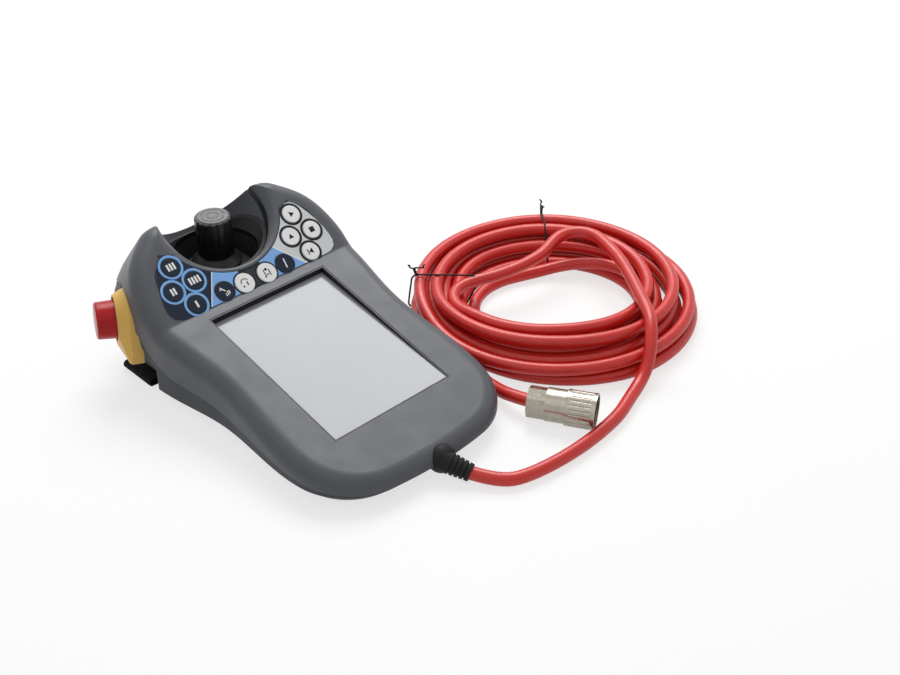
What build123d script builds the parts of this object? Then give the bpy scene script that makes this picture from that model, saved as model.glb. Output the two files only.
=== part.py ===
"""Hand-held teach pendant with a bent moulded housing, a three-axis joystick and a coiled cable.

The screen part lies TILT degrees from the floor, and the head with the keys bends up BEND
degrees more. Lengths are millimetres. World frame: +X to the viewer's right, +Y from the
cable end to the head, +Z up, origin on the flat underside below the middle of the glass.
BODY is the frame of the glass, HEAD that of the key panel, STOP that of the stop button.
"""
from build123d import *
from math import acos, atan2, cos, degrees, hypot, pi, radians, sin, tan
import os

# Stance of the housing
TILT = 10.6
BEND = 29.6
GLASS_HEIGHT = 42.0
BEND_Y = 67.0

# Outline of the front shell, seen square to the glass and square to the key panel
TAIL_HALF = 84.0
WAIST_HALF = 81.5
HEAD_HALF = 89.5
TAIL_Y = -118.0
TAIL_END_HALF = 40.0
TAIL_END_CROWN = 2.6
CORNER_TOP_Y = -72.0
WAIST_Y = 16.0
SHOULDER_Y = 90.0
SHOULDER_V = 8.0
SHOULDER_LAP = 0.6
HORN_V = 85.0
HORN_FLAT = 40.0
HORN_BEND = [(85.5, 45.0), (76.0, 64.0), (60.0, 79.0)]
OUTLINE_REACH = 260.0

# Faces and seam of the front shell, from the glass
FACE_SLOPE = 1.9
FACE_AT_TAIL = -1.0
SEAM_AT_TAIL = -9.5
SEAM_SLOPE = -5.6
HEAD_SKIRT = 26.0
END_SKIRT = 54.0
END_SKIRT_V = 66.0
WALL = 2.6
EDGE_ROUND = 12.0
BEND_ROUND = 5.0
SEAM_ROUND = 60.0
SKIRT_ROUND = 6.0

# Rear housing
SEAM_STEP = 1.4
TUB_STEP = 0.4
REAR_SHIFT = 2.0
TUCK = 9.0
TUCK_HEIGHT = 9.0
BASE_END_Y = 66.0
BAND = 8.0
BAND_END_Y = 166.5
GRIP_HALF = 79.0
GRIP_FLOOR = 7.2
GRIP_FRONT_Y = 84.0
GRIP_BACK_Y = 142.0
GRIP_TOP_BACK = (181.6, 120.0)
GRIP_CORNER = 18.0
GRIP_ROUND = 8.0
SCREW_R = 1.5
SCREW_HEAD_R = 2.8
SCREW_HEAD_H = 2.2
SCREW_SINK = 0.5
SCREW_GAP = 0.06
BOSS_R = 4.2
SCREW_PLACES = [(56.0, -84.0), (62.0, -8.0), (62.0, 56.0)]
SCREW_GRIP = 5.0

# Scoop and joystick on one upright axis, heights from the floor
STICK_Y = 126.5
SCOOP_RIM_R = 33.4
SCOOP_RIM_Z = 70.0
SCOOP_MID_R = 40.4
SCOOP_MID_Z = 84.0
SCOOP_TOP_R = 44.0
SCOOP_TOP_Z = 106.0
RIM_DROP = 3.5
LIP_FRONT = 3.5
LIP_SIDE = 8.0
LIP_DEPTH = 7.0
BOWL_GAP = 0.1
BOWL_FLANGE = 2.6
BOWL_FLANGE_T = 2.0
BOWL_FLOOR_Z = 53.5
BOWL_FLOOR_R = 26.0
BOWL_T = 2.0
BOWL_HOLE_R = 9.5
LINER_TOP = 79.0
LINER_HALF = 36.0
PIVOT_Z = 44.0
STICK_BASE_R = 19.0
STICK_BASE_WALL = 3.5
STICK_BASE_H = 22.0
GIMBAL_IN = 9.0
GIMBAL_OUT = 12.0
GIMBAL_H = 6.0
GIMBAL_PIN_R = 1.5
PIN_GAP = 0.05
HUB_R = 6.0
SHAFT_R = 4.0
SKIRT_R = 18.6
SKIRT_BOTTOM = 60.0
SKIRT_T = 1.6
SKIRT_GAP = 0.4
KNOB_R = 13.5
KNOB_BOTTOM = 67.0
KNOB_TOP = 97.0
KNOB_GROOVES = 16
KNOB_GROOVE_R = 0.9
KNOB_GROOVE_LOW = 77.0
KNOB_EDGE = 0.8
CAP_R = 11.6
CAP_RISE = 0.8
CAP_DEPTH = 2.4
CAP_RING = 0.6
CAP_RINGS = [4.0, 8.1]

# Screen
GLASS_W = 100.0
GLASS_H = 135.0
TOUCH_T = 3.0
BEZEL_W = 1.4
BEZEL_SINK = 0.3
BEZEL_LEDGE = 2.0
BEZEL_FLANGE = 4.0
BEZEL_FLANGE_T = 2.0
BEZEL_FOOT = 2.4
LCD_T = 8.0
BOARD_GAP = 6.0
BOARD_T = 1.6
BOARD_W = 112.0
BOARD_H = 150.0
POST_R = 3.0
POST_X = 46.0
POST_Y = 62.0

# Keys: place across the panel, place up the panel
SIDE_KEYS = [(53.5, 50.0), (43.0, 34.7), (61.7, 33.0), (51.0, 18.3)]
MIDDLE_KEYS = [(26.9, 18.3), (9.9, 17.6)]
SIDE_KEY_D = 14.2
MIDDLE_KEY_D = 15.4
KEY_RISE = 0.9
KEY_TRAVEL = 0.7
KEY_GAP = 0.25
KEY_EDGE = 0.5
STEM_R = 2.2
STEM_LENGTH = 2.4
DOME_R = 3.6
DOME_H = 0.45
OVERLAY_T = 0.5
OVERLAY_PROUD = 0.3
OVERLAY_ARC_V = 78.8
OVERLAY_ARC_R = 51.5
OVERLAY_BOTTOM_V = 11.4
OVERLAY_FOOT = 62.0
OVERLAY_JOIN = 66.5
CIRCUIT_INSET = 2.0
CIRCUIT_TOP = -6.2
CIRCUIT_T = 1.6
CIRCUIT_BOSS_R = 2.0
CIRCUIT_BOSSES = [(39.0, 17.5), (52.5, 38.5)]

# Emergency stop on the left shoulder
STOP_TURN = 25.0
STOP_CENTRE = (-90.5, 125.6, -15.5)
STOP_D = 28.0
STOP_RISE = 13.5
STOP_TRAVEL = 4.0
STOP_HOLE_R = 16.0
STOP_SINK = 11.0
COLLAR_R = 21.5
COLLAR_DEPTH = 16.0
COLLAR_TIP = (25.5, -18.0)
COLLAR_TIP_R = 3.0
COLLAR_TIP_H = 9.0
COLLAR_FALL = 16.0
COLLAR_SLOPE = 8.0
COLLAR_TAPER = 28.0
COLLAR_GAP = 0.4
TURRET_R = 20.0
TURRET_LENGTH = 30.0
STOP_BARREL_R = 11.0
STOP_BARREL_LENGTH = 26.0
STOP_FLANGE_R = 14.0
STOP_FLANGE_T = 1.5
STOP_BUTTON_LOW = -4.0
STOP_TAPER = 0.7
STOP_EDGE = 1.6
STOP_NUT_R = 14.5
STOP_NUT_T = 4.0
SPINDLE_R = 4.0
CONTACT_BLOCK = (20.0, 20.0, 16.0)

# Enabling lever in the right side of the grip
LEVER_LENGTH = 46.0
LEVER_HEIGHT = 24.0
LEVER_Y = 114.0
LEVER_TOP = 44.0
LEVER_DEPTH = 9.0
LEVER_PROUD = 2.5
LEVER_GAP = 0.8
LEVER_SWING = 3.4
LEVER_PIN_X = 74.0
LEVER_PIN_DROP = 2.0
LEVER_EDGE = 3.0
LEVER_PIN_R = 1.5
SWITCH_SIZE = (8.0, 20.0, 10.0)

# Hand strap under the grip
STRAP_FRONT_Y = 100.0
STRAP_W = 34.0
STRAP_T = 1.4
STRAP_BAR_R = 1.5
STRAP_GAP = 0.3
STRAP_BAR_X = 60.0
STRAP_REACH = 82.5
STRAP_FLOOR = 0.4
EAR_T = 3.5
EAR_GAP = 0.4
EAR_WALL = 1.4
EAR_HALF = 7.5
EAR_ROUND = 2.5
EAR_TOP = 15.0
EAR_IN = 4.0

# Cable outlet at the tail
GLAND_X = 2.0
GLAND_Z = 11.5
GLAND_R = 10.0
GLAND_START_Y = -106.0
GLAND_END_Y = -117.0
GLAND_GAP = 0.05
BOOT_END = (9.2, -132.0, 7.0)
BOOT_R = 8.2
BOOT_END_R = 6.2
BOOT_RIBS = 4
BOOT_GROOVE = 1.3

# Cable
CORD_D = 9.6
FLOOR_GAP = 0.2
COIL_X = 200.0
COIL_Y = -35.0
COIL_OUT = 111.0
COIL_IN = 55.0
COIL_H = 20.0
COIL_ROUND = 5.0
TIE_ANGLES = [51.0, 134.0]
TIE_T = 1.5
TIE_GAP = 0.3
TIE_PROUD = 1.0

# Connector on the cable
PLUG_BACK = (87.0, -110.0)
PLUG_TURN = -59.2
PLUG_LENGTH = 48.0
PLUG_R = 13.0
PLUG_NUT_R = 11.4
PLUG_NUT_LENGTH = 13.0
PLUG_NUT_SIDES = 8
PLUG_NUT_LAP = 3.0
PLUG_BODY_R = 12.0
PLUG_BODY_END = 27.0
PLUG_RING_WALL = 1.2
PLUG_RING_GAP = 0.05
PLUG_SHELL_WALL = 1.2
PLUG_INSERT_FACE = 38.0
PLUG_PIN_R = 0.7
PLUG_PIN_END = 45.5
PLUG_PIN_RINGS = [(5, 3.8), (10, 7.8)]
PLUG_KNURLS = 24
PLUG_KNURL_R = 0.9
PLUG_KNURL_START = 3.0

BODY = Pos(0, 0, GLASS_HEIGHT) * Rot(TILT, 0, 0)
HEAD_ON_BODY = Pos(0, BEND_Y, 0) * Rot(BEND, 0, 0)
HEAD = BODY * HEAD_ON_BODY
STOP_OUT = (-cos(radians(STOP_TURN)), sin(radians(STOP_TURN)), 0)
STOP_SIDE = (-sin(radians(STOP_TURN)), -cos(radians(STOP_TURN)), 0)
STOP = BODY * Plane(origin=STOP_CENTRE, x_dir=STOP_SIDE, z_dir=STOP_OUT).location
STICK = Pos(0, STICK_Y, 0)
CORD_R = CORD_D / 2
LIE_Z = CORD_R + FLOOR_GAP
PLUG = Pos(PLUG_BACK[0], PLUG_BACK[1], PLUG_R) * Rot(0, 0, PLUG_TURN) * Rot(0, 90, 0)

# Centre line of the cable from the strain relief over the coil, and from the coil to the connector
LEAD_POINTS = [
    BOOT_END, (18, -149, LIE_Z), (36, -159, LIE_Z), (80, -163.5, LIE_Z), (125, -160, LIE_Z), (147, -156, 9),
    (166, -152, 19), (184, -143, 27.5), (206, -124, 29), (228, -98, 28), (250, -68, 29), (264, -44, 28),
    (266, -22, 29), (256, -3, 28), (236, 7, 28.5), (213, 7, 28), (190, 1, 27), (171, 6, 23), (158, 20, 17)]
TAIL_POINTS = [
    (96, -40, LIE_Z), (90, -58, LIE_Z), (87, -78, 6.5), (84, -96, 11.5),
    (PLUG_BACK[0] + PLUG_NUT_LAP * cos(radians(PLUG_TURN)),
     PLUG_BACK[1] + PLUG_NUT_LAP * sin(radians(PLUG_TURN)), PLUG_R)]


def save(name, shape):
    """Write one piece to its own file."""
    shape.label = name
    export_step(shape, f"parts/{name}.step")


def mirrored_face(edges):
    """Close a right-hand half outline with its mirror image."""
    half = Curve() + edges
    return make_face(half + mirror(half, Plane.YZ))


def turned(points, close=True):
    """Revolve a half section of radius and height points about the upright axis."""
    section = make_face(Polyline(*[(r, 0, z) for r, z in points], close=close))
    return revolve(section, Axis.Z)


def tube(radius, hole, low, high):
    """Round tube along Z; a hole of zero makes a rod."""
    body = Pos(0, 0, low) * extrude(Circle(radius), high - low)
    if hole:
        body -= Pos(0, 0, low) * extrude(Circle(hole), high - low)
    return body


def face_z(y):
    """Height of the screen face over the glass plane."""
    return FACE_AT_TAIL + (y - TAIL_Y) * tan(radians(FACE_SLOPE))


def seam_z(y):
    """Height of the seam under the screen part."""
    return SEAM_AT_TAIL + (y - TAIL_Y) * tan(radians(SEAM_SLOPE))


def head_point(v, w):
    """Side-view point of the head: v along the key panel, w out of it."""
    a = radians(BEND)
    return (BEND_Y + v * cos(a) - w * sin(a), v * sin(a) + w * cos(a))


def crossing(height, w):
    """Side-view point where a line under the screen face meets one under the key panel."""
    slope = (height(1) - height(0))
    y0, z0 = head_point(0, w)
    y = (height(0) - z0 + tan(radians(BEND)) * y0) / (tan(radians(BEND)) - slope)
    return (y, height(y))


def rounded_corner(face, point, radius):
    """Round the corner of a flat face that lies nearest to a point."""
    corner = face.vertices().sort_by_distance((point[0], point[1], 0))[0]
    return fillet(corner, radius)


def moved_in(points, inset):
    """Points of a half outline moved inward, square to the line through their neighbours."""
    moved = [points[0]]
    for before, point, after in zip(points, points[1:], points[2:]):
        along = (after[0] - before[0], after[1] - before[1])
        share = inset / hypot(*along)
        moved.append((point[0] - along[1] * share, point[1] + along[0] * share))
    return moved + [points[-1]]


def plan_outline(inset=0.0):
    """Outline seen square to the glass, open-ended beyond the shoulders."""
    low = TAIL_Y + inset
    corner_start = (TAIL_END_HALF, low + TAIL_END_CROWN)
    corner_end = (TAIL_HALF - inset, CORNER_TOP_Y)
    end = ThreePointArc((0, low), (TAIL_END_HALF / 2, low + TAIL_END_CROWN / 4), corner_start)
    corner = TangentArc(corner_start, corner_end, tangent=end % 1)
    side = Spline(corner_end, (WAIST_HALF - inset, WAIST_Y), (HEAD_HALF - inset, SHOULDER_Y),
                  tangents=(corner % 1, (0, 1)))
    up = Line((HEAD_HALF - inset, SHOULDER_Y), (HEAD_HALF - inset, OUTLINE_REACH))
    top = Line((HEAD_HALF - inset, OUTLINE_REACH), (0, OUTLINE_REACH))
    return mirrored_face([end, corner, side, up, top])


def head_outline(inset=0.0):
    """Outline seen square to the key panel: the shoulders and the end between the horns."""
    wide = HEAD_HALF + SHOULDER_LAP - inset
    high = HORN_V - inset
    start = (wide, SHOULDER_V)
    bottom = Line((0, -OUTLINE_REACH), (wide, -OUTLINE_REACH))
    up = Line((wide, -OUTLINE_REACH), start)
    points = moved_in([start, *HORN_BEND, (HORN_FLAT, high)], inset)
    shoulder = Spline(*points, tangents=((0, 1), (-1, 0)))
    top = Line((HORN_FLAT, high), (0, high))
    return mirrored_face([bottom, up, shoulder, top])


def front_profile(inset=0.0):
    """Side view of the front shell: screen face, key panel, skirt and seam."""
    reach = 2 * TAIL_Y
    face = crossing(lambda y: face_z(y) - inset, -inset)
    seam = crossing(lambda y: seam_z(y) - inset, -HEAD_SKIRT - inset)
    skirt = head_point(END_SKIRT_V - SKIRT_ROUND, -HEAD_SKIRT - inset)
    end_v = HORN_V + EDGE_ROUND
    side = make_face(Polyline(
        (reach, face_z(reach) - inset), face, head_point(end_v, -inset),
        head_point(end_v, -END_SKIRT - inset), head_point(END_SKIRT_V + SKIRT_ROUND, -END_SKIRT - inset),
        skirt, seam, (reach, seam_z(reach) - inset), close=True))
    side = rounded_corner(side, face, BEND_ROUND + inset)
    side = rounded_corner(side, seam, SEAM_ROUND)
    return rounded_corner(side, skirt, SKIRT_ROUND)


def along_x(face, half):
    """Give a side view its width, the same each side of the middle."""
    return Pos(-half, 0, 0) * extrude(Plane.YZ * face, 2 * half)


def on_front_face(edge, inset):
    """Tell whether an edge runs round the rim of the screen face or key panel."""
    for t in (0, 0.25, 0.5, 0.75, 1):
        p = edge @ t
        top = max(face_z(p.Y) - inset, (p.Y - BEND_Y) * tan(radians(BEND)) - inset / cos(radians(BEND)))
        if abs(top - p.Z) > 1.5:
            return False
    across = abs((edge @ 0).X + (edge @ 1).X) < 1 and abs((edge @ 0).X) > WAIST_HALF / 2
    return not across


def front_form(inset=0.0):
    """Outer form of the front shell, or its hollow when inset by the wall."""
    plan = Pos(0, 0, -OUTLINE_REACH / 2) * extrude(plan_outline(inset), OUTLINE_REACH)
    head = HEAD_ON_BODY * Pos(0, 0, -OUTLINE_REACH / 2) * extrude(head_outline(inset), OUTLINE_REACH)
    form = plan & head & along_x(front_profile(inset), HEAD_HALF + EDGE_ROUND)
    rim = [edge for edge in form.edges() if on_front_face(edge, inset)]
    return fillet(rim, EDGE_ROUND - inset)


def scoop_form(extra=0.0):
    """Hollow round the joystick, on its upright axis; extra makes its wall."""
    low = SCOOP_RIM_Z - RIM_DROP
    side = ThreePointArc((SCOOP_RIM_R + extra, 0, SCOOP_RIM_Z), (SCOOP_MID_R + extra, 0, SCOOP_MID_Z),
                         (SCOOP_TOP_R + extra, 0, SCOOP_TOP_Z))
    rest = Polyline((SCOOP_TOP_R + extra, 0, SCOOP_TOP_Z), (SCOOP_TOP_R + extra, 0, 2 * SCOOP_TOP_Z),
                    (0, 0, 2 * SCOOP_TOP_Z), (0, 0, low), (SCOOP_RIM_R + extra, 0, low),
                    (SCOOP_RIM_R + extra, 0, SCOOP_RIM_Z))
    return STICK * revolve(make_face(Curve() + [side, rest]), Axis.Z)


def lip_form(extra=0.0):
    """Room over the rounded lip between the scoop and the key panel; extra makes its wall."""
    lean = radians(TILT + BEND)
    flare = (SCOOP_MID_R - SCOOP_RIM_R) / (SCOOP_MID_Z - SCOOP_RIM_Z)
    foot = HEAD.position
    front_z = (foot.Z + (STICK_Y - SCOOP_RIM_R + flare * SCOOP_RIM_Z - foot.Y) * tan(lean)) / (1 + flare * tan(lean))
    front_v = (front_z - foot.Z) / sin(lean)
    axis_v = (STICK_Y - foot.Y) / cos(lean)
    sections = []
    for share in (-0.1, 0, 0.08, 0.25, 0.55, 1, 1.6):
        depth = (LIP_DEPTH + extra) * share
        bend = 1 - (max(0, 1 - (1 - share) ** 2)) ** 0.5 if share < 1 else 1 - share
        half_u = SCOOP_TOP_R - flare * depth / 2 + LIP_SIDE * bend + extra
        half_v = axis_v - front_v - flare * depth + LIP_FRONT * bend + extra
        sections.append(HEAD * Pos(0, axis_v - depth * tan(lean), -depth) * Ellipse(half_u, half_v))
    low = SCOOP_RIM_Z - RIM_DROP
    return loft(sections) & STICK * Pos(0, 0, low + SCOOP_TOP_Z) * Box(OUTLINE_REACH, OUTLINE_REACH, 2 * SCOOP_TOP_Z)


def key_places():
    """Every key as (name, across, up, diameter), left and right alike."""
    keys = []
    for number, (u, v) in enumerate(SIDE_KEYS, 1):
        keys.append((f"key_left_{number}", -u, v, SIDE_KEY_D))
        keys.append((f"key_right_{number}", u, v, SIDE_KEY_D))
    for number, (u, v) in enumerate(MIDDLE_KEYS, 1):
        keys.append((f"key_middle_left_{number}", -u, v, MIDDLE_KEY_D))
        keys.append((f"key_middle_right_{number}", u, v, MIDDLE_KEY_D))
    return keys


def overlay_outline(inset=0.0):
    """Horseshoe-shaped key overlay round the scoop."""
    low = OVERLAY_BOTTOM_V + inset
    radius = OVERLAY_ARC_R + inset
    join_turn = radians(OVERLAY_JOIN)
    points = moved_in([(OVERLAY_FOOT, low), (73, 19), (72.5, 29.4), (69.9, 39.9), (64.2, 52.9), (57.3, 59.8),
                       (51, 58.6 - inset)], inset)
    foot = Line((0, low), points[0])
    side = Spline(*points, tangents=((1, 0.15), (-1, -0.6)))
    arc_start = (radius * sin(join_turn), OVERLAY_ARC_V - radius * cos(join_turn))
    join = Line(points[-1], arc_start)
    arc_mid = (radius * sin(join_turn / 2), OVERLAY_ARC_V - radius * cos(join_turn / 2))
    arc = ThreePointArc(arc_start, arc_mid, (0, OVERLAY_ARC_V - radius))
    return mirrored_face([foot, side, join, arc])


def screw_ends():
    """Places of the housing screws with the height of the seam above each."""
    ends = []
    for x, y in SCREW_PLACES:
        seam = GLASS_HEIGHT + (seam_z(y) + y * tan(radians(TILT))) * cos(radians(TILT))
        ends += [(-x, y, seam), (x, y, seam)]
    return ends


def under_seam(lift=0.0):
    """Side view of everything under the seam, or of everything under a line lifted from it."""
    reach = 2 * TAIL_Y
    seam = crossing(lambda y: seam_z(y) + lift, -HEAD_SKIRT + lift)
    skirt = head_point(END_SKIRT_V - SKIRT_ROUND, -HEAD_SKIRT + lift)
    end = head_point(HORN_V + EDGE_ROUND, -END_SKIRT + lift)
    side = make_face(Polyline(
        (reach, seam_z(reach) + lift), seam, skirt, head_point(END_SKIRT_V + SKIRT_ROUND, -END_SKIRT + lift),
        end, (end[0], reach), (reach, reach), close=True))
    side = rounded_corner(side, seam, SEAM_ROUND)
    return rounded_corner(side, skirt, SKIRT_ROUND)


def tub_form(inset=0.0):
    """Shallow tub under the screen part, tucked in towards its flat underside."""
    outline = make_face(scale(plan_outline(SEAM_STEP + TUB_STEP + inset), (1, cos(radians(TILT)), 1)).edges())
    block = Pos(0, REAR_SHIFT, inset) * extrude(outline, 2 * GLASS_HEIGHT)
    foot = block.edges().group_by(Axis.Z)[0].filter_by(lambda edge: edge.center().Y < GRIP_FRONT_Y)
    block = chamfer(foot, TUCK_HEIGHT, TUCK)
    side = make_face(Polyline(
        (2 * TAIL_Y, 0), (BASE_END_Y, 0), (GRIP_FRONT_Y, GRIP_FLOOR), (GRIP_FRONT_Y, 2 * GLASS_HEIGHT),
        (2 * TAIL_Y, 2 * GLASS_HEIGHT), close=True))
    if inset:
        side = offset(side, -inset, kind=Kind.INTERSECTION)
    return block & along_x(side, HEAD_HALF)


def grip_form(inset=0.0):
    """Hand grip under the head, its back sloping up to the end of the head."""
    side = make_face(Polyline(
        (GRIP_FRONT_Y - GRIP_CORNER, GRIP_FLOOR), (GRIP_BACK_Y, GRIP_FLOOR), GRIP_TOP_BACK,
        (GRIP_FRONT_Y - GRIP_CORNER, GRIP_TOP_BACK[1]), close=True))
    if inset:
        side = offset(side, -inset, kind=Kind.INTERSECTION)
    block = along_x(side, GRIP_HALF - inset)
    back = [edge for edge in block.edges() if abs((edge @ 0).X - (edge @ 1).X) < 1
            and (edge @ 0.5).Y > GRIP_BACK_Y - inset and (edge @ 0.5).Z > 2 * GRIP_ROUND]
    block = fillet(back, GRIP_CORNER - inset)
    foot = [edge for edge in block.edges() if edge.bounding_box().max.Z < GRIP_FLOOR + inset + 1
            and (edge @ 0.5).Y > GRIP_FRONT_Y - GRIP_CORNER + inset + 1]
    return fillet(foot, GRIP_ROUND - inset)


def rear_envelope(inset=0.0, lift=0.0):
    """Room under the seam within the outline of the rear housing, in the glass frame."""
    step = SEAM_STEP + inset
    plan = Pos(0, 0, -OUTLINE_REACH / 2) * extrude(plan_outline(step), OUTLINE_REACH)
    head = HEAD_ON_BODY * Pos(0, 0, -OUTLINE_REACH / 2) * extrude(head_outline(step), OUTLINE_REACH)
    return plan & head & along_x(under_seam(lift), HEAD_HALF + EDGE_ROUND)


def rear_form(inset=0.0, lift=0.0):
    """Rear housing as a solid: tub, grip and the band that meets the seam."""
    envelope = rear_envelope(inset, lift)
    band = envelope - along_x(under_seam(inset - BAND), HEAD_HALF + 2 * EDGE_ROUND)
    band &= Pos(0, (BEND_Y + BAND_END_Y - inset) / 2, 0) * Box(
        OUTLINE_REACH, BAND_END_Y - inset - BEND_Y, OUTLINE_REACH)
    tub = tub_form(inset) & (BODY * along_x(under_seam(lift), HEAD_HALF + EDGE_ROUND))
    return tub + (grip_form(inset) & (BODY * envelope)) + BODY * band


def panel_bosses(radius, low, high):
    """Rods under the key panel where the key circuit is fixed."""
    rods = Part()
    for u, v in CIRCUIT_BOSSES:
        for side in (-1, 1):
            rods += HEAD * Pos(side * u, v, 0) * tube(radius, 0, low, high)
    return rods


def front_housing():
    """Top shell with window, key openings and the scoop between two horns."""
    hollow = BODY * front_form(WALL) - scoop_form(WALL) - lip_form(WALL)
    shell = BODY * front_form() - scoop_form() - lip_form() - hollow
    filling = BODY * front_form(WALL / 2)
    for x, y, seam in screw_ends():
        shell += filling & Pos(x, y, 0) * tube(BOSS_R, 0, seam, 2 * GLASS_HEIGHT)
        shell -= Pos(x, y, 0) * tube(SCREW_R + SCREW_GAP, 0, 0, seam + SCREW_GRIP + 1)
    shell += panel_bosses(CIRCUIT_BOSS_R, CIRCUIT_TOP, -WALL / 2)
    window = Rectangle(GLASS_W + 2 * BEZEL_W, GLASS_H + 2 * BEZEL_W)
    shell -= BODY * Pos(0, 0, -GLASS_HEIGHT / 2) * extrude(window, GLASS_HEIGHT)
    shell -= HEAD * Pos(0, 0, OVERLAY_PROUD - OVERLAY_T) * extrude(overlay_outline(), EDGE_ROUND)
    for _, u, v, diameter in key_places():
        shell -= HEAD * Pos(u, v, 0) * tube(diameter / 2 + KEY_GAP, 0, -2 * WALL, EDGE_ROUND)
    shell -= stop_space()
    return shell - gland_form(GLAND_GAP)


def rear_housing():
    """Bottom shell: tub, grip, stop turret, lever pocket, strap ears and screw bosses."""
    shell = rear_form() - rear_form(WALL, 2 * WALL)
    filling = rear_form(WALL / 2)
    for x, y, seam in screw_ends():
        shell += filling & Pos(x, y, 0) * tube(BOSS_R, 0, 0, seam)
    for x in (-POST_X, POST_X):
        for y in (-POST_Y, POST_Y):
            shell += filling & BODY * Pos(x, y, 0) * tube(POST_R, 0, -2 * GLASS_HEIGHT, board_top() - BOARD_T)
    shell += (STOP * tube(TURRET_R, 0, -TURRET_LENGTH, -COLLAR_DEPTH)) & (BODY * rear_envelope())
    shell -= STOP * tube(TURRET_R - WALL, 0, -2 * TURRET_LENGTH, -COLLAR_DEPTH - WALL)
    shell -= STOP * tube(STOP_BARREL_R, 0, -TURRET_LENGTH, 0)
    shell += rear_form() & lever_box(WALL)
    shell -= lever_box(0)
    shell -= switch_box()
    shell -= lever_pin()
    shell += strap_ears()
    shell -= strap_bars()
    shell -= stop_space()
    for x, y, seam in screw_ends():
        shell -= Pos(x, y, 0) * tube(SCREW_R + SCREW_GAP, 0, -1, seam + 1)
        shell -= Pos(x, y, 0) * tube(SCREW_HEAD_R + SCREW_GAP, 0, -1, SCREW_SINK + SCREW_HEAD_H)
    return shell - gland_form(GLAND_GAP)


def housing_screws():
    """Six screws up through the underside into the front shell."""
    screws = Part()
    for x, y, seam in screw_ends():
        screw = tube(SCREW_HEAD_R, 0, SCREW_SINK, SCREW_SINK + SCREW_HEAD_H)
        screw += tube(SCREW_R, 0, SCREW_SINK + SCREW_HEAD_H, seam + SCREW_GRIP)
        screw -= tube(SCREW_R, 0, 0, SCREW_SINK + SCREW_HEAD_H / 2)
        screws += Pos(x, y, 0) * screw
    return screws


def window_bezel():
    """Thin dark frame round the glass with a ledge below it and a flange behind the shell."""
    half_w = GLASS_W / 2 + BEZEL_W
    half_h = GLASS_H / 2 + BEZEL_W
    foot = -TOUCH_T - BEZEL_FOOT
    frame = along_x(make_face(Polyline(
        (-half_h, foot), (half_h, foot), (half_h, face_z(half_h) - BEZEL_SINK),
        (-half_h, face_z(-half_h) - BEZEL_SINK), close=True)), half_w)
    far = half_h + BEZEL_FLANGE
    flange = along_x(make_face(Polyline(
        (-far, face_z(-far) - WALL), (far, face_z(far) - WALL),
        (far, face_z(far) - WALL - BEZEL_FLANGE_T), (-far, face_z(-far) - WALL - BEZEL_FLANGE_T), close=True)),
        half_w + BEZEL_FLANGE)
    glass = Pos(0, 0, -TOUCH_T) * extrude(Rectangle(GLASS_W, GLASS_H), GLASS_HEIGHT)
    view = extrude(Rectangle(GLASS_W - 2 * BEZEL_LEDGE, GLASS_H - 2 * BEZEL_LEDGE), -GLASS_HEIGHT)
    return BODY * (frame + flange - glass - view)


def slab_under_glass(width, height, top, thickness):
    """Flat piece parallel to the glass."""
    return BODY * Pos(0, 0, top - thickness / 2) * Box(width, height, thickness)


def lcd_top():
    """Height of the top of the display module under the glass plane."""
    return -TOUCH_T - BEZEL_FOOT


def board_top():
    """Height of the top of the main board under the glass plane."""
    return lcd_top() - LCD_T - BOARD_GAP


def board_posts():
    """Four spacers between the display module and the main board."""
    posts = Part()
    for x in (-POST_X, POST_X):
        for y in (-POST_Y, POST_Y):
            posts += Pos(x, y, 0) * tube(POST_R, 0, board_top(), board_top() + BOARD_GAP)
    return BODY * posts


def keypad_overlay():
    """Printed overlay let into the key panel, with a hole for every key."""
    sheet = Pos(0, 0, OVERLAY_PROUD - OVERLAY_T) * extrude(overlay_outline(), OVERLAY_T)
    for _, u, v, diameter in key_places():
        sheet -= Pos(u, v, 0) * tube(diameter / 2 + KEY_GAP, 0, -WALL, WALL)
    return HEAD * sheet


def key(u, v, diameter):
    """One round key with its stem."""
    cap = fillet(tube(diameter / 2, 0, -WALL, KEY_RISE).edges().group_by(Axis.Z)[-1], KEY_EDGE)
    stem = tube(STEM_R, 0, -WALL - STEM_LENGTH, -WALL)
    return HEAD * Pos(u, v, 0) * (cap + stem)


def keypad_circuit():
    """Circuit sheet under the keys with a switch dome below every stem."""
    sheet = Pos(0, 0, CIRCUIT_TOP - CIRCUIT_T) * extrude(overlay_outline(CIRCUIT_INSET), CIRCUIT_T)
    for _, u, v, _ in key_places():
        sheet += Pos(u, v, 0) * tube(DOME_R, 0, CIRCUIT_TOP, CIRCUIT_TOP + DOME_H)
    room = SCOOP_RIM_R + BOWL_FLANGE + 2 * WALL
    return HEAD * sheet - STICK * tube(room, 0, 0, 2 * SCOOP_TOP_Z)


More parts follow.
